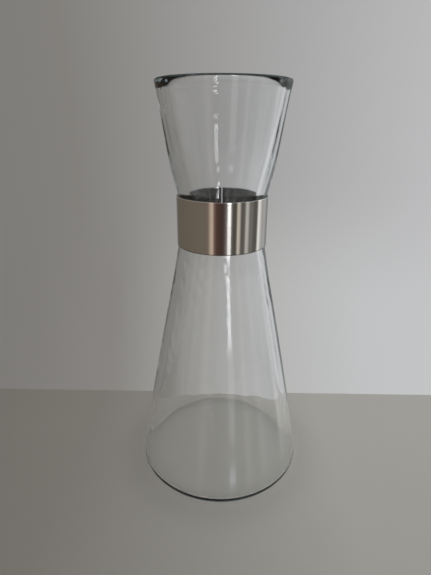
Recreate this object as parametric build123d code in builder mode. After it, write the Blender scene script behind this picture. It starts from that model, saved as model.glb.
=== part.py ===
from build123d import *
import math
import os

# Free-standing blown-glass carafe of hourglass shape with a split sheet-steel
# band sprung round its waist.
#
# Frame: +Z up, origin on the vertical axis, in the plane of the foot ring.
# The slit of the band is on the +Y side (back).  All sizes in millimetres.

# ---------------------------------------------------------------- dimensions
height = 260.0            # foot ring to top of lip

# foot and base of the glass
corner_radius = 4.0       # outer rounding between foot and side wall
corner_centre_r = 54.45   # radius at which that rounding is centred
foot_ring_inner_r = 45.0  # the flat ring the carafe stands on ...
punt_rise = 1.5           # ... and the height of the shallow punt inside it
floor_z = 4.0             # inside floor, at the axis
knee_centre_r = 53.9      # the rounding between floor and inside wall
knee_centre_z = 4.9
knee_radius = 2.4

# lean of the side wall: change of radius for each millimetre of height
lean_at_foot = -0.165
lean_at_lip = 0.140
seat_lean = 0.2126        # at the two rims of the band's seat

# neck band: rolled and polished sheet with a slit
band_z0 = 165.0
band_z1 = 196.0
band_outer_r = 28.5
band_sheet = 0.6
band_slit = 1.0
band_edge = 0.14          # deburred edge
band_inner_r = band_outer_r - band_sheet

# seat of the band: the two rims of the waist, one running clearance inside it
seat_clearance = 0.07
seat_r = band_inner_r - seat_clearance
waist_r = 26.2            # smallest outer radius of the glass
waist_z = 180.5

# outer radius of the glass below and above the band: (radius, height)
lower_outer = [(54.85, 26.0), (50.05, 52.0), (44.95, 78.0), (39.75, 104.0),
               (34.5, 130.0), (29.75, 154.0)]
upper_outer = [(29.3, 202.0), (31.85, 213.0), (34.05, 226.0), (35.95, 239.0),
               (37.75, 250.5)]
lip_outer_r = 39.1        # at the tangent point of the lip's rounding
lip_z = 258.7
lip_top_r = 38.05         # where the rounding ends on top

# inner radius of the glass: thin at the foot where the wall was blown out
# furthest, thick at the neck, and a long slope from the lip down to the wall
lower_inner = [(55.6, 8.0), (54.1, 14.0), (51.6, 24.0), (48.8, 36.0),
               (45.45, 52.0), (40.15, 78.0), (34.95, 104.0), (29.5, 130.0),
               (24.55, 153.5)]
neck_bottom = (22.6, 161.0)
neck_waist = (19.75, 180.0)
neck_top = (21.8, 199.5)
upper_inner = [(23.2, 205.0), (26.3, 216.0), (29.1, 228.0), (31.4, 239.0),
               (33.25, 249.5), (33.95, 253.5)]
lip_slope = [(34.3, 254.9), (34.8, 256.05), (35.45, 257.15), (36.2, 258.2),
             (37.0, 259.15)]

# ---------------------------------------------------------------- glass body
with BuildPart() as glass_body:
    with BuildSketch(Plane.XZ):
        with BuildLine():
            # underside: shallow punt, then the flat ring, then the corner
            punt = TangentArc((0, punt_rise), (foot_ring_inner_r, 0),
                              tangent=(1, 0))
            ring = Line(punt @ 1, (corner_centre_r, 0))
            lean = math.degrees(math.atan(-lean_at_foot))
            corner = CenterArc((corner_centre_r, corner_radius), corner_radius,
                               -90, 90 + lean)
            # outside wall up to the lower rim of the band's seat
            lower_wall = Spline(corner @ 1, *lower_outer, (seat_r, band_z0),
                                tangents=(corner % 1, (-seat_lean, 1)))
            # the waist that the band sits on, narrowest in its middle
            seat = ThreePointArc((seat_r, band_z0), (waist_r, waist_z),
                                 (seat_r, band_z1))
            # outside wall of the funnel
            upper_wall = Spline((seat_r, band_z1), *upper_outer,
                                (lip_outer_r, lip_z),
                                tangents=((seat_lean, 1), (lean_at_lip, 1)))
            # rounding of the lip, up to its highest circle
            lip = ThreePointArc((lip_outer_r, lip_z), (38.79, 259.62),
                                (lip_top_r, height))
            # inside: slope of the lip, funnel, waist, lower chamber
            neck = ThreePointArc(neck_top, neck_waist, neck_bottom)
            funnel_wall = Spline(lip @ 1, *reversed(lip_slope),
                                 *reversed(upper_inner), neck_top,
                                 tangents=((-1, -0.45), neck % 0))
            knee = CenterArc((knee_centre_r, knee_centre_z), knee_radius,
                             -90, 90)
            chamber_wall = Spline(neck_bottom, *reversed(lower_inner),
                                  knee @ 1,
                                  tangents=(neck % 1, (0, -1)))
            # floor, a little higher at the axis
            floor = TangentArc((0, floor_z), knee @ 0, tangent=(1, 0))
            axis_line = Line((0, floor_z), (0, punt_rise))
        make_face()
    revolve(axis=Axis.Z, clean=False)
glass_body.part.label = "glass_body"

# ---------------------------------------------------------------- neck band
with BuildPart() as neck_band:
    with BuildSketch(Plane.XY.offset(band_z0)):
        Circle(band_outer_r)
        Circle(band_inner_r, mode=Mode.SUBTRACT)
        with Locations((0, band_outer_r)):
            Rectangle(band_slit, 4 * band_sheet, mode=Mode.SUBTRACT)
    extrude(amount=band_z1 - band_z0)
    # deburred edges all round the sheet
    fillet(neck_band.edges().filter_by(GeomType.CIRCLE), radius=band_edge)
neck_band.part.label = "neck_band"

# ---------------------------------------------------------------- export
os.makedirs("parts", exist_ok=True)
for piece in (glass_body.part, neck_band.part):
    export_step(piece, "parts/" + piece.label + ".step")
    box = piece.bounding_box()
    print(piece.label, "solids", len(piece.solids()),
          "volume_cm3", round(piece.volume / 1000, 2),
          "size", [round(v, 2) for v in (box.size.X, box.size.Y, box.size.Z)],
          "low z", round(box.min.Z, 4))
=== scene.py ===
import math

import bpy
import numpy as np
from mathutils import Matrix, Vector


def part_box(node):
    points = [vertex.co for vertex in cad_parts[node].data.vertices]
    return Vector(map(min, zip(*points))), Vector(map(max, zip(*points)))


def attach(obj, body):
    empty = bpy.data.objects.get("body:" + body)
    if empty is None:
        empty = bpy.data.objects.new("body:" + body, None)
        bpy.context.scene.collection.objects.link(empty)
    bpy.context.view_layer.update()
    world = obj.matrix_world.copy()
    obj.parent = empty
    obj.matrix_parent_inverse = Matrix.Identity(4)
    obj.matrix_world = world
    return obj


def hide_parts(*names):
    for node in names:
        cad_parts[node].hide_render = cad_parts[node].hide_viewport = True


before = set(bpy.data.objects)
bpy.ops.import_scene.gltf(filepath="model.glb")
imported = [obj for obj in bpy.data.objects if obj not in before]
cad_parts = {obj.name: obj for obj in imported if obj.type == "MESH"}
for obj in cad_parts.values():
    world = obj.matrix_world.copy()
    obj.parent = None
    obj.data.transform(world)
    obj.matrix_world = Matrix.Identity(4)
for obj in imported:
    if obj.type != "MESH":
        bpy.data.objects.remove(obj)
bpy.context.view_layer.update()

MM = 0.001
rng = np.random.default_rng(506)


# ------------------------------------------------------------------ helpers
def clamped(points, t0, t1, step):
    """Points along a C2 cubic curve through points, with end directions t0 and t1."""
    P = np.array(points, float)
    h = np.linalg.norm(np.diff(P, axis=0), axis=1)
    n = len(P)
    A = np.zeros((n, n))
    B = np.zeros((n, 2))
    A[0, 0] = A[-1, -1] = 1
    B[0] = np.array(t0, float) / np.linalg.norm(t0)
    B[-1] = np.array(t1, float) / np.linalg.norm(t1)
    for i in range(1, n - 1):
        a, b = 1 / h[i - 1], 1 / h[i]
        A[i, i - 1], A[i, i], A[i, i + 1] = a, 2 * (a + b), b
        B[i] = 3 * ((P[i] - P[i - 1]) * a * a + (P[i + 1] - P[i]) * b * b)
    D = np.linalg.solve(A, B)
    out = [P[0]]
    for i in range(n - 1):
        k = max(1, int(round(h[i] / step)))
        for j in range(1, k + 1):
            s = j / k
            out.append((2 * s**3 - 3 * s**2 + 1) * P[i] + (s**3 - 2 * s**2 + s) * h[i] * D[i]
                       + (-2 * s**3 + 3 * s**2) * P[i + 1] + (s**3 - s**2) * h[i] * D[i + 1])
    return np.array(out)


def arc3(a, b, c, k):
    """k + 1 points on the circle arc from a through b to c."""
    (ax, ay), (bx, by), (cx, cy) = a, b, c
    d = 2 * (ax * (by - cy) + bx * (cy - ay) + cx * (ay - by))
    ux = ((ax**2 + ay**2) * (by - cy) + (bx**2 + by**2) * (cy - ay) + (cx**2 + cy**2) * (ay - by)) / d
    uy = ((ax**2 + ay**2) * (cx - bx) + (bx**2 + by**2) * (ax - cx) + (cx**2 + cy**2) * (bx - ax)) / d
    r = math.hypot(ax - ux, ay - uy)
    t = [math.atan2(y - uy, x - ux) for x, y in (a, b, c)]
    turn = (t[2] - t[0]) % (2 * math.pi)
    if (t[1] - t[0]) % (2 * math.pi) > turn:
        turn -= 2 * math.pi
    return np.array([(ux + r * math.cos(t[0] + turn * i / k), uy + r * math.sin(t[0] + turn * i / k))
                     for i in range(k + 1)])


def join(*runs):
    out = [runs[0][0]]
    for run in runs:
        for p in run:
            if np.linalg.norm(np.array(p) - out[-1]) > 1e-4:
                out.append(np.array(p, float))
    return np.array(out)


def mesh_object(name, verts, faces, uvs=None):
    me = bpy.data.meshes.new(name)
    me.from_pydata([tuple(v) for v in verts], [], faces)
    me.update()
    if uvs is not None:
        layer = me.uv_layers.new(name="UVMap")
        co = np.zeros(len(me.loops), np.int32)
        me.loops.foreach_get("vertex_index", co)
        layer.data.foreach_set("uv", np.array(uvs, np.float32)[co].ravel())
    me.polygons.foreach_set("use_smooth", [True] * len(me.polygons))
    ob = bpy.data.objects.new(name, me)
    bpy.context.scene.collection.objects.link(ob)
    return ob


class Tree:
    """Small help for writing node trees."""

    def __init__(self, owner):
        owner.use_nodes = True
        self.t = owner.node_tree
        self.t.nodes.clear()

    def add(self, kind, **sets):
        n = self.t.nodes.new(kind)
        for k, v in sets.items():
            if hasattr(n, k):
                setattr(n, k, v)
            else:
                n.inputs[k.replace("_", " ")].default_value = v
        return n

    def link(self, a, b):
        self.t.links.new(a, b)

    def put(self, node, i, value):
        if isinstance(value, bpy.types.NodeSocket):
            self.link(value, node.inputs[i])
        else:
            node.inputs[i].default_value = value

    def math(self, op, a, b=0.0, c=0.0, clamp=False):
        n = self.add("ShaderNodeMath", operation=op, use_clamp=clamp)
        self.put(n, 0, a)
        self.put(n, 1, b)
        self.put(n, 2, c)
        return n.outputs[0]

    def map_range(self, v, a, b, c, d, smooth=True):
        n = self.add("ShaderNodeMapRange", interpolation_type="SMOOTHSTEP" if smooth else "LINEAR", clamp=True)
        self.put(n, 0, v)
        for i, x in zip((1, 2, 3, 4), (a, b, c, d)):
            self.put(n, i, x)
        return n.outputs[0]

    def noise(self, vec, scale, detail=2.0, rough=0.5):
        n = self.add("ShaderNodeTexNoise")
        self.link(vec, n.inputs["Vector"])
        n.inputs["Scale"].default_value = scale
        n.inputs["Detail"].default_value = detail
        n.inputs["Roughness"].default_value = rough
        return n.outputs["Fac"]

    def scaled(self, vec, s):
        n = self.add("ShaderNodeVectorMath", operation="MULTIPLY")
        self.link(vec, n.inputs[0])
        n.inputs[1].default_value = s
        return n.outputs[0]

    def ramp(self, fac, stops, interp="LINEAR"):
        n = self.add("ShaderNodeValToRGB")
        r = n.color_ramp
        r.interpolation = interp
        while len(r.elements) > 1:
            r.elements.remove(r.elements[-1])
        r.elements[0].position = stops[0][0]
        r.elements[0].color = (*stops[0][1], 1)
        for p, c in stops[1:]:
            e = r.elements.new(p)
            e.color = (*c, 1)
        self.put(n, 0, fac)
        return n.outputs[0]

    def mix(self, fac, a, b):
        n = self.add("ShaderNodeMix", data_type="RGBA")
        self.put(n, 0, fac)
        self.put(n, 6, a if isinstance(a, bpy.types.NodeSocket) else (*a, 1))
        self.put(n, 7, b if isinstance(b, bpy.types.NodeSocket) else (*b, 1))
        return n.outputs[2]


# ------------------------------------------------------------------ camera
PITCH, YAW, ROLL = math.radians(22.24), math.radians(-0.835), math.radians(0.339)
fwd = Vector((math.cos(PITCH) * math.sin(YAW), math.cos(PITCH) * math.cos(YAW), -math.sin(PITCH)))
right = Vector((math.cos(YAW), -math.sin(YAW), 0))
up = right.cross(fwd).normalized()
r2 = right * math.cos(ROLL) + up * math.sin(ROLL)
u2 = -right * math.sin(ROLL) + up * math.cos(ROLL)
cam_data = bpy.data.cameras.new("camera")
cam_data.sensor_width = 36.0
cam_data.lens = 415.0 * 36.0 / 575.0
cam_data.clip_start = 0.005
cam = bpy.data.objects.new("camera", cam_data)
bpy.context.scene.collection.objects.link(cam)
m = Matrix((r2, u2, -fwd)).transposed().to_4x4()
m.translation = Vector((0.0, -0.2607, 0.2400))
cam.matrix_world = m
bpy.context.scene.camera = cam

# ------------------------------------------------------------------ glass body
lo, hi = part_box("glass_body")
top = hi.z / MM

outer = join(
    arc3((0, 1.5), (22.6, 1.12), (45.0, 0.02), 26),
    [(45.4, 0.0), (47.0, 0.0), (49.0, 0.0), (51.0, 0.0), (53.0, 0.0), (54.2, 0.0)],
    [(54.43 + 4 * math.sin(a), 4 - 4 * math.cos(a)) for a in np.radians(np.linspace(0, 99.4, 20))],
    clamped([(54.43 + 4 * math.sin(math.radians(99.4)), 4 - 4 * math.cos(math.radians(99.4))),
             (54.85, 26.0), (50.05, 52.0), (44.95, 78.0), (39.75, 104.0), (34.5, 130.0), (29.75, 154.0),
             (27.83, 165.0)], (-0.165, 1), (-0.2126, 1), 1.9),
    arc3((27.83, 165.0), (26.2, 180.5), (27.83, 196.0), 18),
    clamped([(27.83, 196.0), (29.3, 202.0), (31.85, 213.0), (34.05, 226.0), (35.95, 239.0), (37.75, 250.5),
             (39.1, 258.7)], (0.2126, 1), (0.14, 1), 1.7),
)
# the lip: small outer radius, highest near the outside, then a long slope down to the inside wall
lip = join(
    arc3((39.1, 258.7), (38.79, 259.6), (38.05, top - 0.03), 8),
    clamped([(38.05, top - 0.03), (37.0, 259.15), (36.2, 258.2), (35.45, 257.15), (34.8, 256.05), (34.3, 254.9),
             (33.95, 253.5), (33.25, 249.5)],
            (-1, -0.45), (-0.175, -1), 0.3),
)
low = [(24.55, 153.5), (29.5, 130.0), (34.95, 104.0), (40.15, 78.0), (45.45, 52.0), (48.8, 36.0),
       (51.6, 24.0), (54.1, 14.0), (55.6, 8.0), (56.3, 4.9)]
inner = join(
    clamped([(33.25, 249.5), (31.4, 239.0), (29.1, 228.0), (26.3, 216.0), (23.2, 205.0), (21.8, 199.5)],
            (-0.175, -1), (-0.215, -1), 1.7),
    arc3((21.8, 199.5), (19.75, 180.0), (22.6, 161.0), 20),
    clamped([(22.6, 161.0), *low], (0.26, -1), (0.0, -1), 1.7),
    [(53.9 + 2.4 * math.cos(a), 4.9 - 2.4 * math.sin(a)) for a in np.radians(np.linspace(0, 90, 10))],
    arc3((53.9, 2.5), (27.0, 3.62), (0, 4.0), 26),
)
n_out = len(outer)
profile = join(outer, lip, inner)
S = 232
theta = np.arange(S) * 2 * math.pi / S
R, Z = profile[:, 0], profile[:, 1]
is_inner = np.arange(len(profile)) >= n_out + 8


def flow(terms, z):
    """Waves round the axis that drift slowly with height, as the wall of blown glass has: rms about 1."""
    out = np.zeros((len(z), S))
    for n, amp, phase, twist, k, phase2 in terms:
        out += (amp * (1 + 0.5 * np.sin(k * z / 1000 * 2 * math.pi + phase2)))[:, None] * np.cos(
            n * theta[None, :] + phase + (twist * z / 260)[:, None])
    return out


def terms_for(ns, slope):
    out = []
    for n in ns:
        out.append((n, n**slope, rng.uniform(0, 2 * math.pi), rng.normal(0, 0.5), rng.uniform(1, 7),
                    rng.uniform(0, 2 * math.pi)))
    norm = math.sqrt(sum(t[1] ** 2 for t in out) / 2)
    return [(t[0], t[1] / norm, *t[2:]) for t in out]


coarse = flow(terms_for([2, 3, 4, 5], -0.5), Z)
medium = flow(terms_for([7, 9, 11, 14, 17, 19, 23], -0.6), Z)
fine = flow(terms_for([26, 31, 37, 43, 52, 61], -0.8), Z)
# height waves: faint rings left by turning the gather
rings = sum(a * np.sin(2 * math.pi * Z / L + p) for a, L, p in
            ((0.5, 37.0, 0.3), (0.35, 19.0, 2.1), (0.25, 11.0, 4.0)))
# small lumps left by the mould, a few millimetres to a centimetre across
lumps = np.zeros((len(Z), S))
for _ in range(26):
    n, L = int(rng.integers(9, 30)), rng.uniform(8.5, 21.0)
    lumps += np.cos(n * theta[None, :] + (2 * math.pi * Z / L)[:, None] + rng.uniform(0, 2 * math.pi))
lumps /= math.sqrt(13)
lumps *= np.interp(Z, [0, 20, 60, 112, 135, 165, 200, 260], [0, 0.4, 1, 1, 2.0, 2.0, 0.25, 0.15])[:, None]
# short dents under the waist
dents = np.zeros((len(Z), S))
for _ in range(14):
    n, L = int(rng.integers(16, 40)), rng.uniform(5.5, 10.0)
    dents += np.cos(n * theta[None, :] + (2 * math.pi * Z / L)[:, None] + rng.uniform(0, 2 * math.pi))
dents /= math.sqrt(7)
dents *= np.interp(Z, [112, 130, 162, 165.5], [0, 1, 1, 0])[:, None]
radial = np.zeros((len(profile), S))
wall = np.clip((Z - 8) / 18, 0, 1) * np.clip(R / 12, 0, 1)
lip_w = np.clip((260.2 - Z) / 7, 0.06, 1)
w_in = (is_inner * wall * lip_w)[:, None]
w_out = ((~is_inner) * np.clip((Z - 4) / 22, 0, 1) * lip_w)[:, None]
radial += w_in * (0.055 * coarse + 0.030 * medium + 0.0075 * fine + 0.02 * rings[:, None] + 0.004 * lumps)
radial += w_out * (0.045 * coarse + 0.014 * medium + 0.003 * fine + 0.015 * rings[:, None] + 0.009 * lumps + 0.010 * dents
                   - 0.19)
radial = np.where((~is_inner)[:, None], np.minimum(radial, 0.0), radial)

verts, uvs = [], []
length = np.concatenate([[0], np.cumsum(np.linalg.norm(np.diff(profile, axis=0), axis=1))]) * MM
first = np.zeros(len(profile), int)
for i, (r, z) in enumerate(profile):
    first[i] = len(verts)
    if r < 1e-6:
        verts.append((0, 0, z * MM))
        uvs.append((0.5, length[i]))
        continue
    rr = (r + radial[i]) * MM
    for j in range(S):
        verts.append((rr[j] * math.cos(theta[j]), rr[j] * math.sin(theta[j]), z * MM))
        uvs.append((j / S, length[i]))
faces = []
for i in range(len(profile) - 1):
    a, b = first[i], first[i + 1]
    for j in range(S):
        k = (j + 1) % S
        if R[i] < 1e-6:
            faces.append((a, b + k, b + j))
        elif R[i + 1] < 1e-6:
            faces.append((a + j, a + k, b))
        else:
            faces.append((a + j, a + k, b + k, b + j))
glass = mesh_object("blown_glass_body", verts, faces, uvs)
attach(glass, "glass")
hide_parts("glass_body")

# ------------------------------------------------------------------ neck band
blo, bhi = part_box("neck_band")
RO, RI, Z0, Z1 = 28.5, 27.9, blo.z / MM, bhi.z / MM
E = 0.16
half_slit = 0.5


def section():
    """Closed loop of the sheet's section, rounded edges with support rows beside them."""
    pts = []

    def corner(cx, cz, a0):
        for a in np.radians(np.linspace(a0, a0 + 90, 6)):
            pts.append((cx + E * math.cos(a), cz + E * math.sin(a)))

    corner(RO - E, Z1 - E, 0)
    corner(RI + E, Z1 - E, 90)
    for z in (Z1 - 0.45, Z1 - 1.5, *np.linspace(Z1 - 4, Z0 + 4, 7), Z0 + 1.5, Z0 + 0.45):
        pts.append((RI, z))
    corner(RI + E, Z0 + E, 180)
    corner(RO - E, Z0 + E, 270)
    for z in (Z0 + 0.45, Z0 + 1.5, *np.linspace(Z0 + 4, Z1 - 4, 7), Z1 - 1.5, Z1 - 0.45):
        pts.append((RO, z))
    return np.array(pts)


sec = section()
mid = sec.mean(0)
N = 240
steps = []  # (angle from the slit's middle, inset of the section)
r_mid = (RO + RI) / 2
for a_mm, inset in ((half_slit, 0.12), (half_slit + 0.035, 0.05), (half_slit + 0.12, 0.0), (half_slit + 0.35, 0.0)):
    steps.append((a_mm / r_mid, inset))
inside = np.linspace(1.2 / r_mid, 2 * math.pi - 1.2 / r_mid, N)
steps = steps + [(a, 0.0) for a in inside] + [(2 * math.pi - a, i) for a, i in reversed(steps)]
bv, bu, bf = [], [], []
M = len(sec)
for a, inset in steps:
    for k, (r, z) in enumerate(sec):
        if inset:
            r = r - math.copysign(inset, r - r_mid)
            z = z - inset if z > mid[1] else z + inset
        ang = math.pi / 2 + a
        rr = r * MM
        bv.append((rr * math.cos(ang), rr * math.sin(ang), z * MM))
        bu.append((a / (2 * math.pi), z * MM))
for i in range(len(steps) - 1):
    for k in range(M):
        l = (k + 1) % M
        bf.append((i * M + k, (i + 1) * M + k, (i + 1) * M + l, i * M + l))
# flat ends: a strip of quads across the thin section, so that no face is a large concave one
last = (len(steps) - 1) * M
half = M // 2


def cap(base, flip):
    out = []
    ring = [base + k for k in range(M)]
    # pair the outer and the inner run by height
    lo_i, hi_i = 0, M - 1
    order = []
    left, rightr = 5, 6
    a, b = left, rightr
    while True:
        a2, b2 = (a - 1) % M, (b + 1) % M
        if a2 == b:
            break
        if a2 == b2:
            order.append((ring[a], ring[b], ring[b2]))
            break
        order.append((ring[a], ring[b], ring[b2], ring[a2]))
        a, b = a2, b2
        if (a - 1) % M == b:
            break
    return [tuple(reversed(f)) if flip else f for f in order]


bf += cap(0, False) + cap(last, True)
band = mesh_object("steel_neck_band", bv, bf, bu)
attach(band, "band")
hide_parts("neck_band")

import bmesh  # noqa: E402

for ob in (glass, band):
    bm = bmesh.new()
    bm.from_mesh(ob.data)
    bmesh.ops.recalc_face_normals(bm, faces=bm.faces)
    open_edges = sum(1 for e in bm.edges if len(e.link_faces) != 2)
    bm.to_mesh(ob.data)
    print(ob.name, "faces", len(bm.faces), "triangles", sum(len(f.verts) - 2 for f in bm.faces), "open or odd edges", open_edges, "volume_cm3", bm.calc_volume(signed=True) * 1e6)
    bm.free()

# ------------------------------------------------------------------ materials
# clear glass: faint cool tint by volume, almost no roughness, faint drawn lines
mat = bpy.data.materials.new("clear_glass")
t = Tree(mat)
out = t.add("ShaderNodeOutputMaterial")
p = t.add("ShaderNodeBsdfPrincipled")
p.inputs["IOR"].default_value = 1.5
p.inputs["Transmission Weight"].default_value = 1.0
co = t.add("ShaderNodeTexCoord").outputs["Object"]
tint = t.noise(t.scaled(co, (60, 60, 9)), 1.0, 3.0)
t.link(t.ramp(tint, [(0.3, (0.990, 0.996, 0.996)), (0.7, (1.0, 1.0, 1.0))]), p.inputs["Base Color"])
smudge = t.noise(t.scaled(co, (38, 38, 24)), 1.0, 4.0, 0.6)
t.link(t.map_range(smudge, 0.52, 0.78, 0.0, 0.035), p.inputs["Roughness"])
drawn = t.noise(t.scaled(co, (420, 420, 11)), 1.0, 2.0)
bump = t.add("ShaderNodeBump")
bump.inputs["Strength"].default_value = 0.25
bump.inputs["Distance"].default_value = 0.00004
t.link(drawn, bump.inputs["Height"])
t.link(bump.outputs[0], p.inputs["Normal"])
t.link(p.outputs[0], out.inputs["Surface"])
vol = t.add("ShaderNodeVolumeAbsorption")
vol.inputs["Color"].default_value = (0.57, 0.68, 0.72, 1)
vol.inputs["Density"].default_value = 7.0
t.link(vol.outputs[0], out.inputs["Volume"])
glass.data.materials.append(mat)

# brushed steel: brushing runs round the band, so its gloss spreads up and down
mat = bpy.data.materials.new("brushed_steel")
t = Tree(mat)
out = t.add("ShaderNodeOutputMaterial")
p = t.add("ShaderNodeBsdfPrincipled")
p.inputs["Metallic"].default_value = 1.0
p.inputs["Anisotropic"].default_value = 1.0
p.inputs["Anisotropic Rotation"].default_value = 0.25
co = t.add("ShaderNodeTexCoord").outputs["Object"]
brush = t.noise(t.scaled(co, (55, 55, 9000)), 1.0, 4.0, 0.6)
brush2 = t.noise(t.scaled(co, (16, 16, 2600)), 1.0, 3.0, 0.55)
cloud = t.noise(t.scaled(co, (70, 70, 60)), 1.0, 3.0)
both = t.math("ADD", t.math("MULTIPLY", brush, 0.6), t.math("MULTIPLY", brush2, 0.4))
col = t.ramp(both, [(0.3, (0.635, 0.61, 0.575)), (0.7, (0.68, 0.66, 0.63))])
col = t.mix(t.map_range(cloud, 0.35, 0.75, 0.0, 0.22), col, (0.58, 0.56, 0.53))
sep = t.add("ShaderNodeSeparateXYZ")
t.link(co, sep.inputs[0])
r_xy = t.math("SQRT", t.math("ADD", t.math("MULTIPLY", sep.outputs[0], sep.outputs[0]),
                             t.math("MULTIPLY", sep.outputs[1], sep.outputs[1])))
inner_face = t.math("LESS_THAN", r_xy, 0.02805)
# painted shade and painted reflection streaks: the band's inner face is coloured darker, in dark and light vertical
# streaks
inner_shade_streaks = t.ramp(t.noise(t.scaled(co, (380, 380, 6)), 1.0, 2.0, 0.7),
               [(0.36, (0.20, 0.195, 0.185)), (0.5, (0.50, 0.49, 0.475)), (0.62, (0.74, 0.73, 0.715))])
col = t.mix(inner_face, col, inner_shade_streaks)
# the edges: painted highlight along the top edge, bright above; painted shade along the bottom edge, dull below
col = t.mix(t.map_range(sep.outputs[2], 0.16525, 0.16565, 1, 0), col, (0.10, 0.097, 0.092))
col = t.mix(t.map_range(sep.outputs[2], 0.1955, 0.1958, 0, 1), col, (0.96, 0.955, 0.94))
t.link(col, p.inputs["Base Color"])
rough = t.math("ADD", t.map_range(both, 0.3, 0.7, 0.105, 0.125), t.map_range(cloud, 0.4, 0.7, -0.01, 0.02))
t.link(rough, p.inputs["Roughness"])
bump = t.add("ShaderNodeBump")
bump.inputs["Strength"].default_value = 0.015
bump.inputs["Distance"].default_value = 0.00001
t.link(both, bump.inputs["Height"])
t.link(bump.outputs[0], p.inputs["Normal"])
t.link(p.outputs[0], out.inputs["Surface"])
band.data.materials.append(mat)
# the CAD solids are hidden, but get a fitting finish as well
for node, m_ in (("glass_body", glass.data.materials[0]), ("neck_band", mat)):
    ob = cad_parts[node]
    ob.data.materials.clear()
    ob.data.materials.append(m_)

# ------------------------------------------------------------------ stage
# a pale table top with its back edge a little way behind the carafe; painted light makes it lighter to the right,
# painted shade darker towards the front
X0, X1, Y0, Y1, T0 = -0.36, 0.36, -0.36, 0.0655, 0.018
nx, ny = 44, 28
xs = np.linspace(X0, X1, nx + 1)
ys = np.linspace(Y0, Y1, ny + 1)
tv = [(x, y, -0.00005) for y in ys for x in xs]
tf = [(j * (nx + 1) + i, j * (nx + 1) + i + 1, (j + 1) * (nx + 1) + i + 1, (j + 1) * (nx + 1) + i)
      for j in range(ny) for i in range(nx)]
rim = [j for j in range(nx + 1)] + [j * (nx + 1) + nx for j in range(1, ny + 1)]
rim += [ny * (nx + 1) + i for i in range(nx - 1, -1, -1)] + [j * (nx + 1) for j in range(ny - 1, 0, -1)]
base = len(tv)
tv += [(tv[i][0], tv[i][1], -T0) for i in rim]
n_rim = len(rim)
tf += [(rim[i], base + i, base + (i + 1) % n_rim, rim[(i + 1) % n_rim]) for i in range(n_rim)]
tv.append(((X0 + X1) / 2, (Y0 + Y1) / 2, -T0))
tf += [(base + (i + 1) % n_rim, base + i, len(tv) - 1) for i in range(n_rim)]
floor = mesh_object("studio_table", tv, tf)
floor.data.polygons.foreach_set("use_smooth", [False] * len(floor.data.polygons))
mat = bpy.data.materials.new("studio_table")
t = Tree(mat)
out = t.add("ShaderNodeOutputMaterial")
d = t.add("ShaderNodeBsdfDiffuse")
co = t.add("ShaderNodeTexCoord").outputs["Object"]
sep = t.add("ShaderNodeSeparateXYZ")
t.link(co, sep.inputs[0])
# painted light: the table's colour goes from darker on the left to lighter on the right
tone = t.ramp(t.map_range(sep.outputs[0], -0.24, 0.24, 0, 1, False),
              [(0.0, (0.42, 0.392, 0.348)), (0.27, (0.51, 0.482, 0.432)), (0.5, (0.715, 0.69, 0.63)),
               (0.68, (0.88, 0.862, 0.80)), (1.0, (0.90, 0.885, 0.83))])
# painted shade: the table's colour darkens towards the front
near = t.map_range(sep.outputs[1], -0.13, 0.02, 0.91, 1.0, False)
scale = t.add("ShaderNodeVectorMath", operation="SCALE")
t.link(tone, scale.inputs[0])
t.link(near, scale.inputs[3])
t.link(scale.outputs[0], d.inputs["Color"])
t.link(d.outputs[0], out.inputs["Surface"])
floor.data.materials.append(mat)
floor.visible_glossy = False  # mirror reflections see the world's even table tone instead

# ------------------------------------------------------------------ world
w = bpy.data.worlds.new("studio")
bpy.context.scene.world = w
t = Tree(w)
out = t.add("ShaderNodeOutputWorld")
bg = t.add("ShaderNodeBackground")
g = t.add("ShaderNodeTexCoord").outputs["Generated"]
sep = t.add("ShaderNodeSeparateXYZ")
t.link(g, sep.inputs[0])
dx, dy, dz = sep.outputs
el = t.math("MULTIPLY", t.math("ARCSINE", dz), 180 / math.pi)
az = t.math("MULTIPLY", t.math("ARCTAN2", dx, t.math("MULTIPLY", dy, -1.0)), 180 / math.pi)  # 0 to the front
# plain backdrop: soft light from the right
dx01 = t.map_range(dx, -1, 1, 0, 1, False)
plain = t.ramp(dx01, [(0.0, (0.36, 0.355, 0.345)), (0.13, (0.31, 0.305, 0.295)), (0.27, (0.212, 0.206, 0.195)),
                      (0.34, (0.225, 0.216, 0.202)), (0.5, (0.34, 0.335, 0.33)), (0.72, (0.50, 0.50, 0.51)),
                      (1.0, (0.58, 0.585, 0.60))])
low_part = t.ramp(dx01, [(0.0, (0.38, 0.375, 0.365)), (0.13, (0.31, 0.305, 0.295)), (0.27, (0.205, 0.197, 0.184)),
                         (0.38, (0.245, 0.235, 0.222)), (0.5, (0.42, 0.415, 0.405)), (0.66, (0.53, 0.535, 0.54)),
                         (1.0, (0.62, 0.62, 0.63))])
plain = t.mix(t.map_range(el, -6, -24, 0, 1), plain, low_part)
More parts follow.
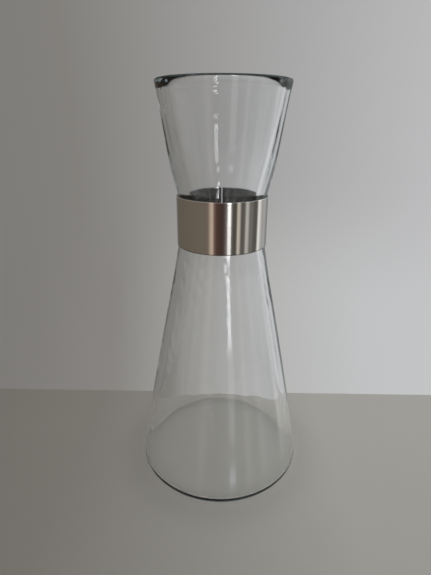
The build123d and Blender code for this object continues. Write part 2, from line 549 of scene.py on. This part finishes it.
# what the gloss sees: a dim room in front, a tall window right of the middle
STOPS = [(-180, (0.30, 0.295, 0.285)), (-158, (0.225, 0.215, 0.20)), (-146, (0.15, 0.135, 0.113)),
         (-95, (0.185, 0.158, 0.124)), (-45, (0.205, 0.175, 0.143)),
         (-40, (0.20, 0.166, 0.132)), (-34, (0.24, 0.19, 0.15)), (-28, (0.60, 0.485, 0.40)),
         (-23.5, (0.70, 0.56, 0.475)), (-18.5, (0.22, 0.143, 0.118)), (-13, (0.105, 0.062, 0.05)),
         (-5, (0.08, 0.046, 0.038)), (3, (0.072, 0.045, 0.041)), (8.5, (0.15, 0.12, 0.117)),
         (12, (0.32, 0.30, 0.30)), (24, (0.28, 0.265, 0.25)), (28, (0.10, 0.094, 0.084)),
         (36, (0.10, 0.094, 0.084)), (40, (0.76, 0.70, 0.62)), (44, (0.66, 0.615, 0.55)),
         (49, (0.13, 0.122, 0.11)), (58, (0.15, 0.142, 0.13)), (64, (0.70, 0.69, 0.665)),
         (69, (0.50, 0.495, 0.47)),
         (74, (0.17, 0.16, 0.145)), (79, (0.25, 0.242, 0.228)), (84, (0.15, 0.142, 0.13)),
         (97, (0.11, 0.106, 0.10)), (105, (1.22, 1.22, 1.20)), (112, (0.72, 0.72, 0.71)),
         (121, (0.44, 0.445, 0.445)), (133, (0.50, 0.51, 0.515))]
STOPS2 = [(133, (0.50, 0.51, 0.515)), (145, (0.32, 0.335, 0.335)), (165, (0.20, 0.21, 0.21)),
          (180, (0.30, 0.29, 0.27))]
a01 = t.math("DIVIDE", t.math("ADD", az, 180.0), 360.0)
room_a = t.ramp(a01, [((a + 180) / 360, c) for a, c in STOPS])
room_b = t.ramp(a01, [((a + 180) / 360, c) for a, c in STOPS2])
room = t.mix(t.math("GREATER_THAN", az, 133.0), room_a, room_b)
# ceiling above, floor below
room = t.mix(t.map_range(el, 30, 48, 0, 1), room, (0.42, 0.43, 0.44))
table = t.ramp(dx01, [(0.0, (0.16, 0.15, 0.132)), (0.30, (0.18, 0.17, 0.152)), (0.5, (0.26, 0.25, 0.228)),
                      (0.72, (0.34, 0.333, 0.31)), (1.0, (0.36, 0.352, 0.328))])
room = t.mix(t.map_range(el, -36, -26, 0, 1), table, room)
# the window: leans towards the middle higher up; dimmer below its sill, and its light on the table in front
mid_az = t.map_range(el, 4, 17, 18.2, 12.0)
off = t.math("ABSOLUTE", t.math("SUBTRACT", az, mid_az))
half_az = t.math("ADD", t.map_range(el, -9, -5, 3.9, 2.3), t.map_range(el, 0, 5, 0.0, 1.9))
win_az = t.map_range(t.math("SUBTRACT", off, half_az), 0.0, 1.0, 1, 0)
win = t.math("MULTIPLY", win_az,
             t.math("MULTIPLY", t.map_range(el, -9.5, -5.0, 0, 1), t.map_range(el, 14.2, 15.4, 1, 0)))
bar = t.math("ADD", t.map_range(el, 10.4, 11.0, 1, 0), t.map_range(el, 12.2, 12.8, 0, 1), clamp=True)
win = t.math("MULTIPLY", win, bar)
sill = t.math("MULTIPLY", win_az,
              t.math("MULTIPLY", t.map_range(el, -23, -20, 0, 1), t.map_range(el, -9.5, -5.0, 1, 0)))
pool = t.math("MULTIPLY", t.map_range(off, 2.5, 6.0, 1, 0),
              t.math("MULTIPLY", t.map_range(el, -29.8, -27.6, 0, 1), t.map_range(el, -27.6, -24.5, 1, 0)))
room = t.mix(sill, room, (1.22, 1.20, 1.20))
room = t.mix(pool, room, (2.3, 2.5, 2.75))
pane = t.mix(t.map_range(el, -1, 4.5, 0, 1), (3.0, 3.05, 3.15), (14.0, 14.2, 14.5))
pane = t.mix(t.map_range(el, 10.4, 12.4, 0, 1), pane, (9.0, 9.1, 9.3))
room = t.mix(win, room, pane)
lp = t.add("ShaderNodeLightPath")
gloss = t.math("GREATER_THAN", lp.outputs["Glossy Depth"], 0.5)
through = t.math("GREATER_THAN", lp.outputs["Transmission Depth"], 0.5)
# light turned round inside the wall: mid grey from the front, and a dim strip straight behind
in_glass = t.ramp(t.map_range(dx, -1, 1, 0, 1, False),
                  [(0.0, (0.23, 0.235, 0.24)), (0.35, (0.10, 0.105, 0.11)), (0.5, (0.07, 0.075, 0.08)),
                   (0.7, (0.15, 0.155, 0.16)), (1.0, (0.50, 0.51, 0.52))])
uneven = t.noise(t.scaled(g, (26, 26, 0.5)), 1.0, 3.0, 0.6)
in_glass = t.mix(t.map_range(uneven, 0.46, 0.62, 0.0, 0.7), in_glass, (0.03, 0.031, 0.032))
behind = t.ramp(t.map_range(dx, -1, 1, 0, 1, False),
                [(0.0, (0.24, 0.235, 0.225)), (0.30, (0.22, 0.215, 0.205)), (0.38, (0.115, 0.12, 0.125)),
                 (0.62, (0.115, 0.12, 0.125)), (0.72, (0.50, 0.505, 0.51)), (1.0, (0.66, 0.665, 0.67))])
in_glass = t.mix(t.map_range(dy, -0.35, 0.3, 0, 1), in_glass, behind)
in_glass = t.mix(t.map_range(el, 15, 30, 0, 1), in_glass, (0.20, 0.215, 0.235))
in_glass = t.mix(win, in_glass, (6.0, 6.1, 6.3))
dark_top = t.mix(t.map_range(el, 16, 34, 0, 1), plain, (0.10, 0.105, 0.11))
seen = t.mix(through, plain, dark_top)
kind = t.mix(gloss, seen, t.mix(through, room, in_glass))
is_diff = t.math("GREATER_THAN", lp.outputs["Diffuse Depth"], 0.5)
soft = t.mix(t.map_range(dx, -1, 1, 0, 1, False), (0.30, 0.30, 0.30), (0.46, 0.46, 0.46))
gain = t.add("ShaderNodeVectorMath", operation="SCALE")
t.link(soft, gain.inputs[0])
t.link(t.map_range(through, 0, 1, 1.0, 1.32, False), gain.inputs[3])
t.link(t.mix(is_diff, kind, gain.outputs[0]), bg.inputs["Color"])
t.link(bg.outputs[0], out.inputs["Surface"])
w.cycles.sampling_method = "MANUAL"
w.cycles.sample_map_resolution = 1024

sc = bpy.context.scene
sc.view_settings.view_transform = "Standard"
sc.view_settings.look = "None"
sc.cycles.max_bounces = 32
sc.cycles.transmission_bounces = 32
sc.cycles.glossy_bounces = 19
sc.cycles.diffuse_bounces = 3
sc.cycles.transparent_max_bounces = 12
sc.cycles.caustics_reflective = True
sc.cycles.caustics_refractive = True
sc.cycles.blur_glossy = 0.2
